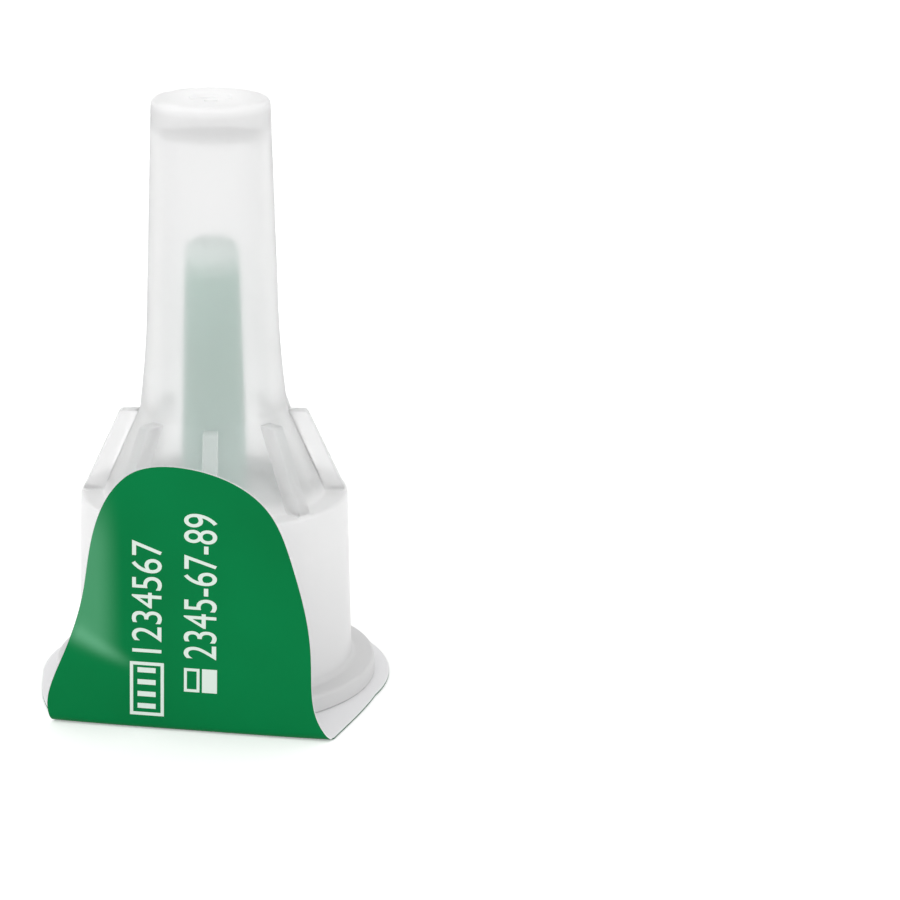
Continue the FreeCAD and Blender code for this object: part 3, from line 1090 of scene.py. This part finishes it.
    def painted_sheen_mark(self, points: Grid) -> Grid:
        """How much painted sheen lightens the print, from 0 to 1.

        The left strip gets an even painted sheen, and a soft painted highlight follows the crease at its
        foot.

        Args:
            points: Points of the sheet, in millimetres.

        Returns:
            One value for each point.
        """
        x, y, z = points.T
        along, off = self.crease_frame(x, z)
        # painted sheen over the bent left strip
        strip = smooth_step(*self.sheen_strip_x, x) * smooth_step(*self.sheen_strip_off, off)
        strip = strip * smooth_step(*self.sheen_strip_z, z)
        width = self.crease_highlight_w - self.crease_highlight_taper * np.clip(along, 0, self.crease_highlight_reach)
        # painted highlight along the crease
        highlight_band = np.exp(-((off / width) ** 2))
        highlight_band = highlight_band * smooth_step(*self.crease_highlight_start, along) * smooth_step(*self.crease_highlight_end, along)
        near, low = self.sheen_from
        on_tab = (y < self.middle_y + near) & (z > low)
        return np.clip(self.sheen_strip * strip + self.crease_highlight * highlight_band, 0, 1) * on_tab

    def build(self, outside: PrintedFilm, inside: CutPaper) -> bpy.types.Object:
        """Build the sheet, give it its thickness and dress both sides.

        Args:
            outside: The green print.
            inside: The white paper of the inner side and the cut edge.

        Returns:
            The piece that stands for the frame's seal.
        """
        points = self.surface()
        faces = grid_faces(*points.shape[:2], Rim.OPEN, Rim.OPEN)[:, ::-1].tolist()
        mesh = make_mesh("seal_sheet", points, faces, self.merge, closed=False)
        # the point value puts painted sheen and a painted crease highlight on the green print
        mark = mesh.attributes.new(PAINTED_SHEEN_MARK, "FLOAT", "POINT")
        mark.data.foreach_set("value", self.painted_sheen_mark(places_of(mesh) / MM))
        piece = new_piece(mesh, [outside.material(), inside.material()])
        wall = piece.modifiers.new("wall", "SOLIDIFY")
        wall.thickness = self.thickness * MM
        wall.offset = 0
        wall.use_even_offset = True
        wall.material_offset = 1
        wall.material_offset_rim = 1
        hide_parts("seal_label")
        return piece


@dataclass
class SealPrint:
    """White figures and plain shapes on the tab, which read upwards.

    Each figure line and shape fills a box of the tab, given as its left, right, lower and upper side.
    """

    seal: SealLabel
    proud: float = 0.012
    tilt: float = 0.016
    tilt_from: float = 6.0
    lines: tuple[tuple[str, Box], ...] = (
        ("1234567", (-2.63, -1.07, 4.2, 10.2)),
        ("2345-67-89", (0.07, 1.78, 4.03, 11.78)),
    )
    frames: tuple[tuple[Box, float], ...] = (
        ((-2.74, -0.96, 0.77, 3.67), 0.17),
        ((0.09, 0.9, 2.22, 3.5), 0.15),
    )
    square: Box = (1.03, 1.81, 2.22, 3.5)
    stripe: Box = (-2.34, -1.39, 1.15, 1.42)
    stripe_pitch: float = 0.65
    stripe_count: int = 4
    bar_steps: int = 7
    letter_depth: float = 0.01
    letter_steps: int = 6

    def place(self, across: Grid, up: Grid, out: Grid) -> Grid:
        """Lay points on the tab: across and up on its plane, and out from its printed side.

        Args:
            across: Places across the tab.
            up: Heights on the tab.
            out: Distances out of its printed side.

        Returns:
            The points.
        """
        x = across + (up - self.tilt_from) * self.tilt
        y = self.seal.middle(x, up) - self.seal.thickness / 2 - out
        return np.stack([x, y, up], axis=-1)

    def figures(self, line: str, box: Box) -> Skin:
        """Set a line of plain figures that fills a box of the tab and reads upwards.

        The figures' heads are at the box's left side and their feet at its right.

        Args:
            line: Plain figures.
            box: The box.

        Returns:
            The points and the faces.
        """
        curve = bpy.data.curves.new("figures", "FONT")
        curve.body = line
        curve.extrude = self.letter_depth
        curve.resolution_u = self.letter_steps
        holder = stand("figures", curve)
        flat = worked_out(holder)
        places = places_of(flat)
        faces = [list(p.vertices) for p in flat.polygons]
        bpy.data.objects.remove(holder)
        bpy.data.curves.remove(curve)
        bpy.data.meshes.remove(flat)
        least, most = places.min(axis=0), places.max(axis=0)
        share = (places - least) / (most - least)
        left, right, low, high = box
        up = low + (high - low) * share[:, 0]
        across = right + (left - right) * share[:, 1]
        return self.place(across, up, self.proud * share[:, 2]), faces

    def bar(self, left: float, right: float, low: float, high: float) -> Skin:
        """Fill a box, in steps so that it follows the tab.

        Args:
            left: Left side.
            right: Right side.
            low: Lower side.
            high: Upper side.

        Returns:
            The points and the faces.
        """
        steps = self.bar_steps
        lines = np.linspace(left, right, steps), np.linspace(low, high, steps)
        across, up = np.meshgrid(*lines, indexing="ij")
        front = self.place(across, up, np.full_like(across, self.proud))
        back = self.place(across, up, np.zeros_like(across))
        points = np.concatenate([front.reshape(-1, 3), back.reshape(-1, 3)])
        face = grid_faces(steps, steps, Rim.OPEN, Rim.OPEN)
        rim = np.concatenate([
            np.arange(steps),
            np.arange(2, steps + 1) * steps - 1,
            steps * steps - 2 - np.arange(steps - 1),
            steps * (steps - 2 - np.arange(steps - 2)),
        ])
        after = np.roll(rim, -1)
        sides = np.stack([rim, after, after + steps * steps, rim + steps * steps], axis=1)
        return points, np.concatenate([face, face[:, ::-1] + steps * steps, sides]).tolist()

    def frame_of_bars(self, box: Box, line: float) -> list[Skin]:
        """Frame a box with four bars.

        Args:
            box: The box.
            line: How wide the bars are.

        Returns:
            The bars.
        """
        left, right, low, high = box
        return [
            self.bar(left, left + line, low, high),
            self.bar(right - line, right, low, high),
            self.bar(left + line, right - line, low, low + line),
            self.bar(left + line, right - line, high - line, high),
        ]

    def stripes(self) -> list[Skin]:
        """Lay the row of short bars that stands in the first frame.

        Returns:
            The bars.
        """
        left, right, low, high = self.stripe
        steps = self.stripe_pitch * np.arange(self.stripe_count)
        return [self.bar(left, right, low + step, high + step) for step in steps]

    def build(self, finish: Plastic) -> bpy.types.Object:
        """Lay out the figures, the two frames, the row of bars and the plain square.

        Args:
            finish: The white ink.

        Returns:
            The print.
        """
        first, second = (self.frame_of_bars(*frame) for frame in self.frames)
        parts = [self.figures(*line) for line in self.lines]
        parts += first + self.stripes() + second + [self.bar(*self.square)]
        mesh = make_mesh("seal_print", *joined(parts))
        return new_piece(mesh, [finish.material()])


@dataclass
class CarriedOver:
    """A node of the frame whose shape stays and which gets its finish here."""

    node: str

    def dress(self, material: bpy.types.Material) -> None:
        """Give the node its finish.

        Args:
            material: The finish.
        """
        node = frame["nodes"][self.node]
        for slot in node.material_slots:
            slot.material = material
        LOG.info("%s: finish %s", self.node, material.name)


@dataclass(frozen=True)
class Lamp:
    """Soft square lamp that faces the object, in metres."""

    name: str
    place: tuple[float, float, float]
    size: float
    watts: float
    aim: tuple[float, float, float] = (0, 0, 0.012)

    def hang(self) -> None:
        """Hang the lamp."""
        light = bpy.data.lights.new(self.name, "AREA")
        light.shape = "SQUARE"
        light.size = self.size
        light.energy = self.watts
        holder = stand(self.name, light)
        towards = Vector(self.aim) - Vector(self.place)
        holder.location = self.place
        holder.rotation_euler = towards.to_track_quat("-Z", "Y").to_euler()


@dataclass
class Studio:
    """Camera, floor, world and lamps.

    The camera is set by the place in the picture of the frame's origin, its distance in millimetres
    and three turns in radians. Its clip, the floor and the lamps are in metres.
    """

    focal_px: float = 3170.66
    frame_px: float = 900.0
    base_px: tuple[float, float] = (216.65, 670.50)
    distance: float = 170.61
    azimuth: float = 0.11502
    pitch: float = 0.29487
    roll: float = 0.01201
    sensor_mm: float = 36.0
    clip: tuple[float, float] = (0.001, 10.0)
    world_light: float = 0.9
    floor_glow: float = 0.3
    floor_grey: float = 0.9
    floor_roughness: float = 0.8
    floor_specular: float = 0.1
    floor_half: float = 1.5
    floor_level: float = -0.00003
    lamps: tuple[Lamp, ...] = (
        Lamp("key_lamp", (-0.45, -0.2, 0.35), 0.35, 0.5),
        Lamp("fill_lamp", (0.4, -0.35, 0.3), 0.4, 0.25),
    )

    def camera(self) -> None:
        """Stand the camera so that the base point falls on its place in the frame."""
        right = np.array([np.cos(self.azimuth), np.sin(self.azimuth), 0])
        ahead = np.array([-np.sin(self.azimuth), np.cos(self.azimuth), 0])
        up = np.array([0, 0, 1.0])
        view = ahead * np.cos(self.pitch) - up * np.sin(self.pitch)
        top = ahead * np.sin(self.pitch) + up * np.cos(self.pitch)
        cos, sin = np.cos(self.roll), np.sin(self.roll)
        place = self.solve(right, view, top) * MM
        columns = (cos * right + sin * top, -sin * right + cos * top, -view, place)
        lens = bpy.data.cameras.new("camera")
        lens.sensor_width = self.sensor_mm
        lens.lens = self.sensor_mm * self.focal_px / self.frame_px
        lens.clip_start, lens.clip_end = self.clip
        holder = stand("camera", lens)
        holder.matrix_world = Matrix([*np.stack(columns, axis=1).tolist(), (0, 0, 0, 1)])
        bpy.context.scene.camera = holder

    def solve(self, right: Grid, view: Grid, top: Grid) -> Grid:
        """Work out where the camera stands, in millimetres.

        Args:
            right: The level direction to the right.
            view: The direction of sight.
            top: The direction up across the sight.

        Returns:
            The camera's place.
        """
        half = self.frame_px / 2
        dx = (self.base_px[0] - half) / self.focal_px
        dy = (half - self.base_px[1]) / self.focal_px
        cos, sin = np.cos(self.roll), np.sin(self.roll)
        across = dx * cos - dy * sin
        rise = dx * sin + dy * cos
        return -self.distance * (view + across * right + rise * top)

    def floor(self) -> None:
        """Lay a wide white floor just under the seal."""
        half, level = self.floor_half, self.floor_level
        corners = [(-half, -half, level), (half, -half, level), (half, half, level), (-half, half, level)]
        mesh = bpy.data.meshes.new("floor")
        mesh.from_pydata(corners, [], [(0, 1, 2, 3)])
        finish = Finish("floor", {
            "Base Color": grey(self.floor_grey),
            "Roughness": self.floor_roughness,
            "Specular IOR Level": self.floor_specular,
            "Emission Color": grey(1),
        })
        glow = finish.math("MULTIPLY", self.seen_rays(finish), self.floor_glow)
        finish.feed(finish.shader, {"Emission Strength": glow})
        mesh.materials.append(finish.material)
        floor = stand("floor", mesh)

    @staticmethod
    def seen_rays(wiring: Wiring) -> Socket:
        """Join the kinds of ray that see the background: camera, glossy and transmission.

        Args:
            wiring: The tree that needs them.

        Returns:
            A socket that is 1 for those rays and 0 for others.
        """
        rays = wiring.add("LightPath", {}).outputs
        near = wiring.math("MAXIMUM", rays["Is Camera Ray"], rays["Is Glossy Ray"])
        return wiring.math("MAXIMUM", near, rays["Is Transmission Ray"])

    def world(self) -> None:
        """Make a white world: full strength where it is seen, less where it lights."""
        world = bpy.data.worlds.new("studio")
        world.use_nodes = True
        wiring = Wiring(world.node_tree)
        level = wiring.spread(self.seen_rays(wiring), self.world_light, 1.0)
        wiring.feed(world.node_tree.nodes["Background"], {"Color": grey(1), "Strength": level})
        bpy.context.scene.world = world

    def build(self) -> None:
        """Set up the camera, the floor, the world and the lamps."""
        self.camera()
        self.floor()
        self.world()
        for lamp in self.lamps:
            lamp.hang()
        settings = bpy.context.scene.view_settings
        settings.view_transform = "Standard"


NATURAL = Plastic(
    "natural_plastic",
    color=grey(1.0),
    roughness=0.30,
    transmission=0.85,
    ior=1.25,
    shade_spread=0.005,
    # painted shade: greys by height darken the flange and the skirt's foot, the tube a little, and a band
    # just below the top
    tint_and_painted_light_at=(
        (1.1, grey(0.8)),
        (1.5, grey(0.88)),
        (5.0, grey(0.94)),
        (8.0, grey(1.0)),
        (14.0, grey(1.0)),
        (18.0, grey(0.94)),
        (29.5, grey(0.94)),
        (29.9, grey(0.84)),
        (30.6, grey(0.84)),
        (31.0, grey(1.0)),
    ),
    clear_at=(
        (9.6, 0.18),
        (10.4, 0.2),
        (11.0, 0.76),
        (12.6, 0.84),
        (28.7, 0.88),
        (29.35, 0.5),
        (29.9, 0.7),
        (30.6, 0.75),
        (31.1, 0.3),
    ),
    fin_clear=0.62,
    fin_cone=(0.4418, 10.4),
    fin_span=(10.4, 14.75),
)
SHIELD_GREEN = Plastic(
    "shield_green",
    color=grey(1.0),
    roughness=0.45,
    # the shield's green, with painted shade darkest about its middle and painted light that turns the dome
    # almost white
    tint_and_painted_light_at=(
        (12.4, srgb(196, 224, 214)),
        (13.5, srgb(190, 220, 209)),
        (16.3, srgb(177, 209, 196)),
        (20.8, srgb(184, 215, 203)),
        (21.9, srgb(188, 218, 206)),
        (23.2, srgb(240, 252, 247)),
    ),
)
HUB_WHITE = Plastic("hub_white", color=(0.95, 0.96, 0.96, 1), roughness=0.4)
CLEAR_GLUE = Plastic("clear_glue", color=(0.95, 0.96, 0.9, 1), roughness=0.08, transmission=0.9)
WHITE_INK = Plastic("white_ink", color=(0.78, 0.88, 0.81, 1), roughness=0.5, specular=0.2)


def main() -> None:
    """Build the studio, then the pieces in order."""
    logging.basicConfig(level=logging.INFO, format="%(message)s")
    Studio().build()
    OuterCover().build(NATURAL)
    InnerShield().build(SHIELD_GREEN)
    HubThread().build(HUB_WHITE)
    seal = SealLabel()
    seal.build(PrintedFilm(), CutPaper())
    SealPrint(seal).build(WHITE_INK)
    CarriedOver("needle_hub").dress(HUB_WHITE.material())
    CarriedOver("cannula").dress(DrawnSteel().material())
    CarriedOver("adhesive_bead").dress(CLEAR_GLUE.material())


if __name__ == "__main__":
    main()
